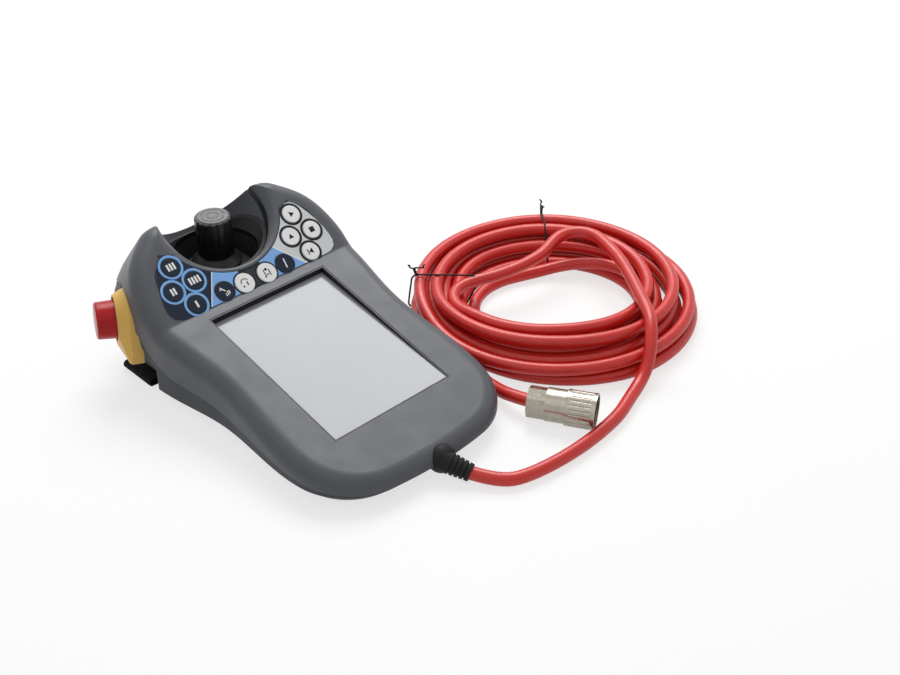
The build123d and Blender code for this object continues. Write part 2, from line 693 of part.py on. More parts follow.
def joystick_bowl():
    """Dark bowl at the bottom of the scoop, its rim standing up against the sides of the scoop."""
    low = SCOOP_RIM_Z - RIM_DROP
    outer = SCOOP_RIM_R - BOWL_GAP
    under = BOWL_FLOOR_Z - BOWL_T
    bowl = STICK * turned([
        (BOWL_HOLE_R, under), (BOWL_FLOOR_R + BOWL_T, under), (outer, low - BOWL_FLANGE_T),
        (SCOOP_RIM_R + BOWL_FLANGE, low - BOWL_FLANGE_T), (SCOOP_RIM_R + BOWL_FLANGE, low), (outer, low),
        (outer, SCOOP_RIM_Z), (outer - BOWL_T, SCOOP_RIM_Z), (outer - BOWL_T, low),
        (BOWL_FLOOR_R, BOWL_FLOOR_Z), (BOWL_HOLE_R, BOWL_FLOOR_Z)])
    rim = scoop_form(-BOWL_GAP) - scoop_form(-BOWL_GAP - BOWL_T)
    rise = LINER_TOP - SCOOP_RIM_Z
    bend_r = (LINER_HALF ** 2 + rise ** 2) / (2 * rise)
    rim &= STICK * Pos(0, 0, SCOOP_RIM_Z) * Box(3 * LINER_HALF, 3 * LINER_HALF, 3 * rise)
    return bowl + (rim - STICK * Pos(0, 0, SCOOP_RIM_Z + bend_r) * Rot(90, 0, 0) * Cylinder(bend_r, 4 * LINER_HALF))


def cross_pins(radius, start, end):
    """Two rods along X from the pivot axis."""
    rods = Part()
    for side in (-1, 1):
        rods += Pos(side * (start + end) / 2, 0, PIVOT_Z) * Rot(0, 90, 0) * Cylinder(radius, end - start)
    return rods


def joystick_base():
    """Cup under the bowl that carries the gimbal ring."""
    top = BOWL_FLOOR_Z - BOWL_T
    cup = tube(STICK_BASE_R, 0, top - STICK_BASE_H, top)
    cup -= tube(STICK_BASE_R - STICK_BASE_WALL, 0, top - STICK_BASE_H + STICK_BASE_WALL, top)
    return STICK * (cup - cross_pins(GIMBAL_PIN_R + PIN_GAP, 0, STICK_BASE_R - 0.5))


def gimbal_ring():
    """Ring that tilts in the cup and carries the stick."""
    ring = tube(GIMBAL_OUT, GIMBAL_IN, PIVOT_Z - GIMBAL_H / 2, PIVOT_Z + GIMBAL_H / 2)
    ring += cross_pins(GIMBAL_PIN_R, (GIMBAL_IN + GIMBAL_OUT) / 2, STICK_BASE_R - 1)
    return STICK * (ring - Rot(0, 0, 90) * cross_pins(GIMBAL_PIN_R + PIN_GAP, 0, 2 * GIMBAL_OUT))


def joystick_shaft():
    """Stick with its hub and the pins that run in the gimbal ring."""
    hub = tube(HUB_R, 0, PIVOT_Z - GIMBAL_H / 2, PIVOT_Z + GIMBAL_H / 2)
    rod = tube(SHAFT_R, 0, PIVOT_Z - GIMBAL_H, KNOB_TOP - 2 * CAP_DEPTH)
    pins = Rot(0, 0, 90) * cross_pins(GIMBAL_PIN_R, HUB_R / 2, GIMBAL_OUT)
    return STICK * (hub + rod + pins)


def joystick_skirt():
    """Bell under the knob that hides the hole in the bowl."""
    top = KNOB_BOTTOM - SKIRT_GAP
    return STICK * turned([
        (SHAFT_R, top), (KNOB_R - 1, top), (SKIRT_R, SKIRT_BOTTOM + SKIRT_T), (SKIRT_R, SKIRT_BOTTOM),
        (SKIRT_R - SKIRT_T, SKIRT_BOTTOM), (KNOB_R - SKIRT_T, top - SKIRT_T), (SHAFT_R, top - SKIRT_T)])


def joystick_knob():
    """Knob with finger grooves, turning on the shaft."""
    knob = tube(KNOB_R, SHAFT_R + PIN_GAP, KNOB_BOTTOM, KNOB_TOP)
    knob = chamfer(knob.edges().filter_by(GeomType.CIRCLE).sort_by(SortBy.RADIUS)[-2:], KNOB_EDGE)
    knob -= tube(CAP_R, 0, KNOB_TOP - CAP_DEPTH, KNOB_TOP)
    for n in range(KNOB_GROOVES):
        turn = Rot(0, 0, 360 * n / KNOB_GROOVES)
        knob -= turn * Pos(KNOB_R, 0, 0) * tube(KNOB_GROOVE_R, 0, KNOB_GROOVE_LOW, KNOB_TOP)
    return STICK * knob


def joystick_cap():
    """Cap in the top of the knob with two ring grooves."""
    low = KNOB_TOP - CAP_DEPTH
    cap = tube(CAP_R, 0, low, KNOB_TOP + CAP_RISE)
    cap = fillet(cap.edges().group_by(Axis.Z)[-1], CAP_RISE)
    for radius in CAP_RINGS:
        cap -= tube(radius + CAP_RING, radius, KNOB_TOP + CAP_RISE / 2, 2 * KNOB_TOP)
    return STICK * cap


def teardrop(extra=0.0):
    """Foot of the stop collar: a round drawn out to a tip towards the tail."""
    big = COLLAR_R + extra
    small = COLLAR_TIP_R + extra
    reach = hypot(*COLLAR_TIP)
    lean = atan2(COLLAR_TIP[1], COLLAR_TIP[0])
    spread = acos((big - small) / reach)
    corners = []
    for side in (1, -1):
        a = lean + side * spread
        ends = [(big * cos(a), big * sin(a)), (COLLAR_TIP[0] + small * cos(a), COLLAR_TIP[1] + small * sin(a))]
        corners += ends if side == 1 else ends[::-1]
    tip = Pos(COLLAR_TIP[0], COLLAR_TIP[1]) * Circle(small)
    return Circle(big) + tip + make_face(Polyline(*corners, close=True))


def collar_form(extra=0.0):
    """Stop collar as a solid, its top falling away towards the tip."""
    block = Pos(0, 0, -COLLAR_DEPTH - extra) * extrude(teardrop(extra), COLLAR_DEPTH - COLLAR_SLOPE + extra)
    block += Pos(0, 0, -COLLAR_SLOPE) * extrude(teardrop(extra), COLLAR_SLOPE, taper=COLLAR_TAPER)
    reach = hypot(*COLLAR_TIP)
    lean = degrees(atan2(COLLAR_TIP[1], COLLAR_TIP[0]))
    over = make_face(Polyline(
        (COLLAR_FALL, extra), (reach + COLLAR_TIP_R + 1, COLLAR_TIP_H - COLLAR_DEPTH + extra),
        (2 * reach, COLLAR_DEPTH), (COLLAR_FALL, COLLAR_DEPTH), close=True))
    wedge = Rot(0, 0, lean) * Pos(0, 2 * COLLAR_R, 0) * extrude(Plane.XZ * over, 4 * COLLAR_R)
    return STOP * (block - wedge)


def stop_space():
    """Room for the stop collar in both shells."""
    return collar_form(COLLAR_GAP) + STOP * tube(COLLAR_R + COLLAR_GAP, 0, -COLLAR_DEPTH, COLLAR_DEPTH)


def estop_collar():
    """Collar round the stop button, resting on the turret."""
    well = STOP * tube(STOP_HOLE_R, 0, -STOP_SINK, COLLAR_DEPTH)
    return collar_form() - well - STOP * tube(STOP_BARREL_R, 0, -2 * COLLAR_DEPTH, 0)


def estop_barrel():
    """Threaded barrel of the stop switch with its flange on the collar."""
    low = -STOP_SINK - STOP_BARREL_LENGTH
    barrel = tube(STOP_BARREL_R, SPINDLE_R + PIN_GAP, low, -STOP_SINK)
    return STOP * (barrel + tube(STOP_FLANGE_R, SPINDLE_R + PIN_GAP, -STOP_SINK, -STOP_SINK + STOP_FLANGE_T))


def estop_nut():
    """Nut that clamps the turret plate and the collar."""
    top = -COLLAR_DEPTH - WALL
    nut = extrude(RegularPolygon(STOP_NUT_R, 6), STOP_NUT_T)
    return STOP * (Pos(0, 0, top - STOP_NUT_T) * nut - tube(STOP_BARREL_R, 0, top - STOP_NUT_T, top))


def estop_contact_block():
    """Contact block on the inner end of the barrel."""
    wide, high, deep = CONTACT_BLOCK
    return STOP * Pos(0, 0, -STOP_SINK - STOP_BARREL_LENGTH - deep / 2) * Box(wide, high, deep)


def estop_spindle():
    """Spindle that slides in the barrel and carries the button."""
    return STOP * tube(SPINDLE_R, 0, -STOP_SINK - STOP_BARREL_LENGTH / 2, STOP_RISE / 2)


def estop_button():
    """Slightly tapered stop button, turning on its spindle."""
    side = make_face(Polyline(
        (0, 0, STOP_BUTTON_LOW), (STOP_D / 2, 0, STOP_BUTTON_LOW), (STOP_D / 2 - STOP_TAPER, 0, STOP_RISE),
        (0, 0, STOP_RISE), close=True))
    button = revolve(side, Axis.Z)
    button = fillet(button.edges().group_by(Axis.Z)[-1], STOP_EDGE)
    return STOP * (button - tube(SPINDLE_R + PIN_GAP, 0, STOP_BUTTON_LOW, STOP_RISE / 2 + PIN_GAP))


def lever_box(extra):
    """Pocket for the enabling lever, or the block round it when grown."""
    out = 2 * GRIP_HALF
    back = GRIP_HALF - LEVER_DEPTH - LEVER_SWING
    wide = LEVER_LENGTH + 2 * LEVER_GAP + 2 * extra
    high = LEVER_HEIGHT + 2 * LEVER_GAP + 2 * extra
    return Pos((out + back - extra) / 2, LEVER_Y, LEVER_TOP - LEVER_HEIGHT / 2) * Box(out - back + extra, wide, high)


def lever_pin(radius=LEVER_PIN_R):
    """Pin the enabling lever turns on."""
    length = LEVER_LENGTH + 2 * LEVER_GAP + 2 * WALL - 1
    return Pos(LEVER_PIN_X, LEVER_Y, LEVER_TOP - LEVER_PIN_DROP) * Rot(90, 0, 0) * Cylinder(radius, length)


def enable_lever():
    """Enabling lever, standing a little proud of the grip."""
    low = GRIP_HALF - LEVER_DEPTH
    high = GRIP_HALF + LEVER_PROUD
    lever = Box(high - low, LEVER_LENGTH, LEVER_HEIGHT)
    lever = fillet(lever.edges().group_by(Axis.X)[-1], LEVER_EDGE)
    lever = Pos((low + high) / 2, LEVER_Y, LEVER_TOP - LEVER_HEIGHT / 2) * lever
    return lever - lever_pin(LEVER_PIN_R + PIN_GAP)


def switch_box():
    """Enabling switch in the back of the lever pocket."""
    deep, long, high = SWITCH_SIZE
    face = GRIP_HALF - LEVER_DEPTH - LEVER_SWING
    return Pos(face - deep / 2, LEVER_Y, LEVER_TOP - LEVER_HEIGHT + high / 2) * Box(deep, long, high)


def strap_z():
    """Height of the strap bars."""
    return STRAP_FLOOR + STRAP_T + STRAP_GAP + STRAP_BAR_R


def strap_ears():
    """Ears on the grip that hold the strap bars."""
    ears = Part()
    low = strap_z() - STRAP_BAR_R - EAR_WALL
    for side in (-1, 1):
        for y in (STRAP_FRONT_Y - EAR_GAP - EAR_T / 2, STRAP_FRONT_Y + STRAP_W + EAR_GAP + EAR_T / 2):
            ear = Box(2 * EAR_HALF, EAR_T, EAR_TOP - low)
            ear = fillet(ear.edges().filter_by(Axis.Y).group_by(Axis.Z)[0], EAR_ROUND)
            ears += Pos(side * (STRAP_BAR_X - EAR_IN), y, (EAR_TOP + low) / 2) * ear
    return ears


def strap_bars():
    """Two steel bars the strap loops round."""
    length = STRAP_W + 2 * EAR_GAP + 2 * EAR_T
    bars = Part()
    for side in (-1, 1):
        at = Pos(side * STRAP_BAR_X, STRAP_FRONT_Y + STRAP_W / 2, strap_z())
        bars += at * Rot(90, 0, 0) * Cylinder(STRAP_BAR_R, length)
    return bars


def hand_strap():
    """Flat closed loop of webbing round both bars."""
    inner = STRAP_BAR_R + STRAP_GAP
    outer = inner + STRAP_T
    loop = SlotCenterToCenter(2 * STRAP_REACH, 2 * outer) - SlotCenterToCenter(2 * STRAP_REACH, 2 * inner)
    return Pos(0, STRAP_FRONT_Y + STRAP_W, strap_z()) * extrude(Plane.XZ * loop, STRAP_W)


def gland_form(extra=0.0):
    """Bulb at the tail that the cable comes out of."""
    middle = (GLAND_START_Y + GLAND_END_Y) / 2
    bulb = Sphere(GLAND_R + extra) & Box(3 * GLAND_R, GLAND_START_Y - GLAND_END_Y, 3 * GLAND_R)
    return Pos(GLAND_X, middle, GLAND_Z) * bulb


def boot_line():
    """Start, direction and length of the strain relief."""
    start = Vector(GLAND_X, GLAND_END_Y, GLAND_Z)
    run = Vector(*BOOT_END) - start
    return start, run.normalized(), run.length


def strain_relief():
    """Ribbed, tapered sleeve on the cable."""
    start, along, length = boot_line()
    lap = BOOT_R / 2
    sleeve = Pos(0, 0, (length - lap) / 2) * Cone(BOOT_R, BOOT_END_R, length + lap)
    step = length / (BOOT_RIBS + 1)
    for n in range(1, BOOT_RIBS + 1):
        r = BOOT_R + (BOOT_END_R - BOOT_R) * n / (BOOT_RIBS + 1)
        groove = tube(2 * BOOT_R, r - BOOT_GROOVE, n * step - BOOT_GROOVE / 2, n * step + BOOT_GROOVE / 2)
        sleeve -= groove
    return Plane(origin=start, z_dir=along).location * sleeve - gland_form()


def cord(points):
    """Round cable along straight runs joined by smooth bends; returns it with its bend radii."""
    runs = [Vector(*b) - Vector(*a) for a, b in zip(points, points[1:])]
    radii = []
    for before, after in zip(runs, runs[1:]):
        half_turn = radians(before.get_angle(after)) / 2
        radii.append(0.45 * min(before.length, after.length) / tan(half_turn))
    line = FilletPolyline(*points, radius=radii)
    section = Plane(origin=points[0], z_dir=runs[0]) * Circle(CORD_R)
    body = sweep(section, path=line)
    share = body.volume / (pi * CORD_R ** 2 * line.length)
    print("bend radii", [round(r, 1) for r in radii], "length", round(line.length), "share", round(share, 4))
    return body


def tie_frame(turn, extra=0.0):
    """Wire tie round the coil at one angle from its centre."""
    middle = (COIL_OUT + COIL_IN) / 2
    wide = COIL_OUT - COIL_IN + 2 * TIE_PROUD
    high = COIL_H + TIE_PROUD
    outer = RectangleRounded(wide + 2 * extra, high + 2 * extra, COIL_ROUND + TIE_PROUD + extra)
    inner = RectangleRounded(wide - 2 * TIE_T - 2 * extra, high - 2 * TIE_T - 2 * extra, COIL_ROUND - extra)
    frame = Pos(0, TIE_T, 0) * extrude(Plane.XZ * (outer - inner), 2 * TIE_T)
    if extra:
        frame = Pos(0, TIE_T + extra, 0) * extrude(Plane.XZ * (outer - inner), 2 * TIE_T + 2 * extra)
    return Pos(COIL_X, COIL_Y, FLOOR_GAP + high / 2) * Rot(0, 0, turn) * Pos(middle, 0, 0) * frame


def cord_coil():
    """Coiled part of the cable as one ring, pinched by its ties."""
    ring = tube(COIL_OUT, COIL_IN, 0, COIL_H)
    ring = fillet(ring.edges(), COIL_ROUND)
    ring = Pos(COIL_X, COIL_Y, FLOOR_GAP) * ring
    for turn in TIE_ANGLES:
        ring -= tie_frame(turn, TIE_GAP)
    return ring


def connector_nut():
    """Clamping nut at the back of the connector."""
    nut = extrude(RegularPolygon(PLUG_NUT_R, PLUG_NUT_SIDES), PLUG_NUT_LENGTH)
    return PLUG * nut


def connector_body():
    """Connector body with the thin sleeve the coupling ring turns on."""
    body = tube(PLUG_BODY_R, 0, PLUG_NUT_LENGTH, PLUG_BODY_END)
    return PLUG * (body + tube(plug_sleeve_r(), plug_insert_r(), PLUG_BODY_END, PLUG_LENGTH - 1))


def plug_sleeve_r():
    """Outside of the sleeve in the coupling ring."""
    return PLUG_R - PLUG_RING_WALL - PLUG_RING_GAP


def plug_insert_r():
    """Outside of the insert in the sleeve."""
    return plug_sleeve_r() - PLUG_SHELL_WALL


def connector_ring():
    """Knurled coupling ring."""
    ring = tube(PLUG_R, plug_sleeve_r() + PLUG_RING_GAP, PLUG_BODY_END + PIN_GAP, PLUG_LENGTH)
    for n in range(PLUG_KNURLS):
        turn = Rot(0, 0, 360 * n / PLUG_KNURLS)
        ring -= turn * Pos(PLUG_R + PLUG_KNURL_R / 2, 0, 0) * tube(
            PLUG_KNURL_R, 0, PLUG_BODY_END + PLUG_KNURL_START, PLUG_LENGTH - PLUG_KNURL_START)
    return PLUG * ring


def connector_insert():
    """Insulating insert that holds the contact pins."""
    insert = tube(plug_insert_r(), 0, PLUG_BODY_END, PLUG_INSERT_FACE)
    for at in pin_places():
        insert -= at * tube(PLUG_PIN_R, 0, PLUG_BODY_END, PLUG_LENGTH)
    return PLUG * insert


def pin_places():
    """Contact pins in two rings and the middle."""
    places = [Pos(0, 0, 0)]
    for count, radius in PLUG_PIN_RINGS:
        for n in range(count):
            a = 2 * pi * n / count
            places.append(Pos(radius * cos(a), radius * sin(a), 0))
    return places


def connector_pins():
    """Contact pins."""
    pins = Part()
    for at in pin_places():
        pins += at * tube(PLUG_PIN_R, 0, PLUG_BODY_END, PLUG_PIN_END)
    return PLUG * pins


os.makedirs("parts", exist_ok=True)
save("front_housing", front_housing())
save("rear_housing", rear_housing())
save("housing_screws", housing_screws())
save("window_bezel", window_bezel())
save("touch_panel", slab_under_glass(GLASS_W, GLASS_H, 0, TOUCH_T))
save("lcd_module", slab_under_glass(GLASS_W + BEZEL_W, GLASS_H + BEZEL_W, lcd_top(), LCD_T))
save("board_posts", board_posts())
save("main_board", slab_under_glass(BOARD_W, BOARD_H, board_top(), BOARD_T))
save("keypad_overlay", keypad_overlay())
save("keypad_circuit", keypad_circuit())
for name, u, v, diameter in key_places():
    save(name, key(u, v, diameter))
save("joystick_bowl", joystick_bowl())
save("joystick_base", joystick_base())
save("gimbal_ring", gimbal_ring())
save("joystick_shaft", joystick_shaft())
save("joystick_skirt", joystick_skirt())
save("joystick_knob", joystick_knob())
save("joystick_cap", joystick_cap())
save("estop_collar", estop_collar())
save("estop_barrel", estop_barrel())
save("estop_nut", estop_nut())
save("estop_contact_block", estop_contact_block())
save("estop_spindle", estop_spindle())
save("estop_button", estop_button())
save("enable_lever", enable_lever())
save("enable_pin", lever_pin())
save("enable_switch", switch_box())
save("strap_bars", strap_bars())
save("hand_strap", hand_strap())
save("cable_gland", gland_form())
save("strain_relief", strain_relief())
save("cord_lead", cord(LEAD_POINTS))
save("cord_coil", cord_coil())
save("cord_tail", cord(TAIL_POINTS))
save("cable_tie_1", tie_frame(TIE_ANGLES[0]))
save("cable_tie_2", tie_frame(TIE_ANGLES[1]))
save("connector_nut", connector_nut())
save("connector_body", connector_body())
save("connector_ring", connector_ring())
save("connector_insert", connector_insert())
save("connector_pins", connector_pins())
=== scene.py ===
"""Looks of the hand-held teach pendant: materials, printed keypad, coiled cable, ties and webbing.

Everything is in metres in the frame of the CAD model: +X to the right of the screen, +Y from the
cable end to the joystick end, +Z up, and the origin on the flat underside.
"""
import bmesh
import bpy
from math import cos, pi, radians, sin
from mathutils import Matrix, Vector


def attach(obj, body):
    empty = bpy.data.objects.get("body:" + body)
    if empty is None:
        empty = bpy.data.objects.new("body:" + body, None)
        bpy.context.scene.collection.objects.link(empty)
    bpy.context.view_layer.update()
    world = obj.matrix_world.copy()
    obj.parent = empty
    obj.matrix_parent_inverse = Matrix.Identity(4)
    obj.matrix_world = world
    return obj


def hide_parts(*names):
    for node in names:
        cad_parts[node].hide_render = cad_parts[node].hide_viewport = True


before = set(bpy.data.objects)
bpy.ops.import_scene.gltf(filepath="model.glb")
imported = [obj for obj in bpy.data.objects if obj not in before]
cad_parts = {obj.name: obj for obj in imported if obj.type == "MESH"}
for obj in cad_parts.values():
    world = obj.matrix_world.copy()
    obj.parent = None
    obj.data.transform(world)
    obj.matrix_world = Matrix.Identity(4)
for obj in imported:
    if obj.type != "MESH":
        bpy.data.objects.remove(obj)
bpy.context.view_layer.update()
MM = 0.001

# Camera at the photograph's viewpoint
CAMERA_PLACE = (-0.4881, -0.6283, 0.60615)
CAMERA_FORWARD = (0.568767, 0.590385, -0.572669)
CAMERA_LENS = 56

# Frames of the glass and of the key panel, as in the CAD source
TILT = radians(10.6)
BEND = radians(29.6)
BODY = Matrix.Translation((0, 0, 0.042)) @ Matrix.Rotation(TILT, 4, "X")
HEAD = BODY @ Matrix.Translation((0, 0.067, 0)) @ Matrix.Rotation(BEND, 4, "X")

# Cable
CORD_D = 0.0096
FLOOR_GAP = 0.0002
LIE_Z = CORD_D / 2 + FLOOR_GAP
LAYER = CORD_D + 0.0003

# Coil: a rough oval whose turns lie closest at the left tie
COIL_CENTRE = Vector((0.200, -0.035, 0))
COIL_R = 0.1048
COIL_SHIFT = 0.0032
COIL_OVAL = 0.0030
COIL_STEP = 18
TIGHT_SIDE = 150
TURN_STEP = 0.00987
LOOSENESS = 0.2
WANDER = 0.45
WANDER_RATE = 0.37
ARCH_SIDE = 205
ARCH_RISE = 0.0025

# Ties: their angles round the coil, and the radius and height of the lead where it passes the second
TIE_ANGLES = (51, 134)
LEAD_AT_TIE = (0.068, 0.0252)
TIE_WIRE_R = 0.0007
TIE_END_R = 0.0006
TIE_CORNERS = 24
TWIST_R = 0.0009
TWIST_RISE = 0.0008
TWIST_LEAN = 0.0006
TWIST_POINTS = 13
TWIST_SPLIT = 9

# Stations along the coil: running angle, turns in from the outermost one, layer from the floor
COIL_PLAN = [(168, 2.8, 2), (227, 3.4, 2), (330, 3.0, 2), (410, 1.6, 2), (510, 1.5, 2), (587, 1.9, 2),
             (690, 1.2, 2), (770, 0.2, 2), (850, 0.2, 2), (900, 0.3, 1), (1180, 0.3, 1), (1230, 1.35, 1),
             (1540, 1.35, 1), (1590, 2.4, 1), (1900, 2.4, 1), (1950, 3.4, 1), (2150, 3.4, 1), (2232, 4.9, 0),
             (2295, 4.4, 0), (2338, 4.4, 0), (2420, 3.3, 0), (2698, 3.3, 0), (2780, 2.2, 0), (3058, 2.2, 0),
             (3140, 1.1, 0), (3418, 1.1, 0), (3500, 0, 0), (3778, -0.05, 0)]
LOOSE_DEPTH = 4.0

# Keys: across and up the panel, in millimetres
SIDE_KEYS = [(53.5, 50.0), (43.0, 34.7), (61.7, 33.0), (51.0, 18.3)]
MIDDLE_KEYS = [(26.9, 18.3), (9.9, 17.6)]
SIDE_KEY_R = 7.1
MIDDLE_KEY_R = 7.7
KEY_TOP = 0.9
KEY_GAP = 0.3
FACE_INSET = 0.5
RING_LEFT_R = 9.2
RING_RIGHT_R = 9.05
RING_MIDDLE_R = 9.0
BAR_PITCH = 2.45
BAR_WIDTH = 1.55
BAR_HEIGHT = 5.2

# Printed film: its face, the arc of the scoop that it runs round, and the step between printed layers
FILM_TOP = 0.3
SCOOP_R = 52.0
SCOOP_V = 78.8
SCOOP_SPAN = 65.5
SCOOP_POINTS = 24
PRINT_LIFT = 0.03

# Strap: the ends of its loop across, its middle height, half its depth, its edges along and its cloth
STRAP_END_X = 0.0825
STRAP_MID_Z = 0.0036
STRAP_LAYER = 0.0025
STRAP_FRONT = 0.100
STRAP_BACK = 0.134
STRAP_HALF = 0.00068
STRAP_EDGE = 0.0006
STRAP_RUN_STEPS = 40
STRAP_BEND_STEPS = 12

# Studio
FLOOR_HALF = 6
FLOOR_GLOW = 0.7
WORLD_LIGHT = 0.40
WORLD_SEEN = 1.0
LAMP_AIM = (0.08, 0, 0.02)


def camera():
    """Camera at the photograph's viewpoint."""
    data = bpy.data.cameras.new("camera")
    data.lens = CAMERA_LENS
    data.sensor_width = 36
    data.clip_end = 20
    obj = bpy.data.objects.new("camera", data)
    obj.location = CAMERA_PLACE
    obj.rotation_euler = Vector(CAMERA_FORWARD).to_track_quat("-Z", "Y").to_euler()
    bpy.context.collection.objects.link(obj)
    bpy.context.scene.camera = obj


def noise(nodes, links, scale, detail, coords, roughness=0.5):
    """Noise texture in object coordinates."""
    tex = nodes.new("ShaderNodeTexNoise")
    tex.inputs["Scale"].default_value = scale
    tex.inputs["Detail"].default_value = detail
    tex.inputs["Roughness"].default_value = roughness
    links.new(coords, tex.inputs["Vector"])
    return tex.outputs["Fac"]


def spread(nodes, links, value, low, high):
    """Map a noise value around its middle onto a range."""
    ramp = nodes.new("ShaderNodeMapRange")
    ramp.inputs["From Min"].default_value = 0.3
    ramp.inputs["From Max"].default_value = 0.7
    ramp.inputs["To Min"].default_value = low
    ramp.inputs["To Max"].default_value = high
    links.new(value, ramp.inputs["Value"])
    return ramp.outputs["Result"]


def surface(name, colour, rough, vary=0.08, patch=60, grain=2500, depth=0.00003, metal=0.0, coat=0.0,
            specular=0.25, rough_vary=0.06, sheen=0.0):
    """Moulded or painted surface with fine grain, uneven gloss and slight colour variation."""
    material = bpy.data.materials.new(name)
    material.use_nodes = True
    nodes = material.node_tree.nodes
    links = material.node_tree.links
    shader = nodes["Principled BSDF"]
    shader.inputs["Metallic"].default_value = metal
    shader.inputs["Coat Weight"].default_value = coat
    shader.inputs["Specular IOR Level"].default_value = specular
    shader.inputs["Sheen Weight"].default_value = sheen
    coords = nodes.new("ShaderNodeTexCoord").outputs["Object"]
    mix = nodes.new("ShaderNodeMix")
    mix.data_type = "RGBA"
    mix.inputs["A"].default_value = [c * (1 - vary) for c in colour] + [1]
    mix.inputs["B"].default_value = [min(1, c * (1 + vary)) for c in colour] + [1]
    links.new(spread(nodes, links, noise(nodes, links, patch, 4, coords), 0, 1), mix.inputs["Factor"])
    links.new(mix.outputs["Result"], shader.inputs["Base Color"])
    clouds = noise(nodes, links, patch * 2.3, 5, coords, 0.6)
    uneven = spread(nodes, links, clouds, rough - rough_vary, rough + rough_vary)
    links.new(uneven, shader.inputs["Roughness"])
    bump = nodes.new("ShaderNodeBump")
    bump.inputs["Distance"].default_value = depth
    bump.inputs["Strength"].default_value = 0.6
    links.new(noise(nodes, links, grain, 3, coords, 0.7), bump.inputs["Height"])
    links.new(bump.outputs["Normal"], shader.inputs["Normal"])
    return material


def webbing(name, colour):
    """Woven black webbing: two crossed sets of ribs."""
    material = surface(name, colour, 0.85, vary=0.15, patch=300, grain=4000, specular=0.1, sheen=0.05)
    nodes = material.node_tree.nodes
    links = material.node_tree.links
    coords = nodes.new("ShaderNodeTexCoord").outputs["Object"]
    heights = []
    for direction in ("X", "Y"):
        wave = nodes.new("ShaderNodeTexWave")
        wave.bands_direction = direction
        wave.inputs["Scale"].default_value = 180
        wave.inputs["Distortion"].default_value = 0.4
        links.new(coords, wave.inputs["Vector"])
        heights.append(wave.outputs["Fac"])
    both = nodes.new("ShaderNodeMath")
    both.operation = "MULTIPLY"
    links.new(heights[0], both.inputs[0])
    links.new(heights[1], both.inputs[1])
    bump = nodes.new("ShaderNodeBump")
    bump.inputs["Distance"].default_value = 0.0004
    links.new(both.outputs["Value"], bump.inputs["Height"])
    links.new(bump.outputs["Normal"], nodes["Principled BSDF"].inputs["Normal"])
    return material


def dress(node, material):
    """Give a CAD node a finished material."""
    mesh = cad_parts[node].data
    mesh.materials.clear()
    mesh.materials.append(material)


def link_mesh(name, build, material):
    """Make an object from a bmesh and give it its material."""
    mesh = bpy.data.meshes.new(name)
    build.to_mesh(mesh)
    build.free()
    mesh.materials.append(material)
    obj = bpy.data.objects.new(name, mesh)
    bpy.context.collection.objects.link(obj)
    return obj


def wire(name, points, radius, material, closed=False):
    """Round wire or cable along a smooth spline through its control points."""
    curve = bpy.data.curves.new(name, "CURVE")
    curve.dimensions = "3D"
    curve.bevel_depth = radius
    curve.bevel_resolution = 5
    curve.resolution_u = 6
    curve.use_fill_caps = not closed
    spline = curve.splines.new("NURBS")
    spline.points.add(len(points) - 1)
    for point, place in zip(spline.points, points):
        point.co = (*place, 1)
    spline.use_cyclic_u = closed
    spline.use_endpoint_u = not closed
    spline.order_u = 3
    curve.materials.append(material)
    obj = bpy.data.objects.new(name, curve)
    bpy.context.collection.objects.link(obj)
    return obj


# Cable: lead, coil and tail as one spline
def polar(angle, radius, z):
    """Point round the middle of the coil."""
    a = radians(angle)
    return (COIL_CENTRE.x + radius * cos(a), COIL_CENTRE.y + radius * sin(a), z)


def ease(t):
    """Smooth step from 0 to 1."""
    t = max(0, min(1, t))
    return t * t * (3 - 2 * t)


def turn_gap(angle):
    """Distance between neighbouring turns: tight at the left tie, loose opposite."""
    return TURN_STEP * (1 + LOOSENESS * abs(sin(radians((angle - TIGHT_SIDE) / 2))))


def outermost(angle):
    """Radius of the outermost turn: a rough oval, widest at the left tie."""
    off_tie = radians(angle - TIGHT_SIDE)
    return COIL_R + COIL_SHIFT * cos(off_tie) + COIL_OVAL * cos(2 * off_tie)


def strand(turn):
    """Radius and height of the coiled cable at a running angle."""
    for (start, depth, layer), (end, next_depth, next_layer) in zip(COIL_PLAN, COIL_PLAN[1:]):
        if turn <= end:
            share = (turn - start) / (end - start)
            depth += (next_depth - depth) * share
            layer += (next_layer - layer) * ease(share)
            break
    gap = turn_gap(turn)
    loose = WANDER * (gap - TURN_STEP) * sin(radians(WANDER_RATE * turn))
    lift = ARCH_RISE * max(0, layer - 1) * max(0, cos(radians(turn - ARCH_SIDE))) ** 2
    return outermost(turn) - depth * gap + loose, LIE_Z + layer * LAYER + lift


def coil_points():
    """Turns of the coil: out over the top, in through the middle, and out again along the floor."""
    return [polar(turn, *strand(turn)) for turn in range(COIL_PLAN[0][0], COIL_PLAN[-1][0], COIL_STEP)]


def strands_at(angle):
    """Radius and height of each strand that passes an angle, the loose one inside left out."""
    found = []
    for turn in range(angle, COIL_PLAN[-1][0], 360):
        if turn >= COIL_PLAN[0][0]:
            radius, z = strand(turn)
            if radius > outermost(turn) - LOOSE_DEPTH * turn_gap(turn):
                found.append((radius, z))
    return found


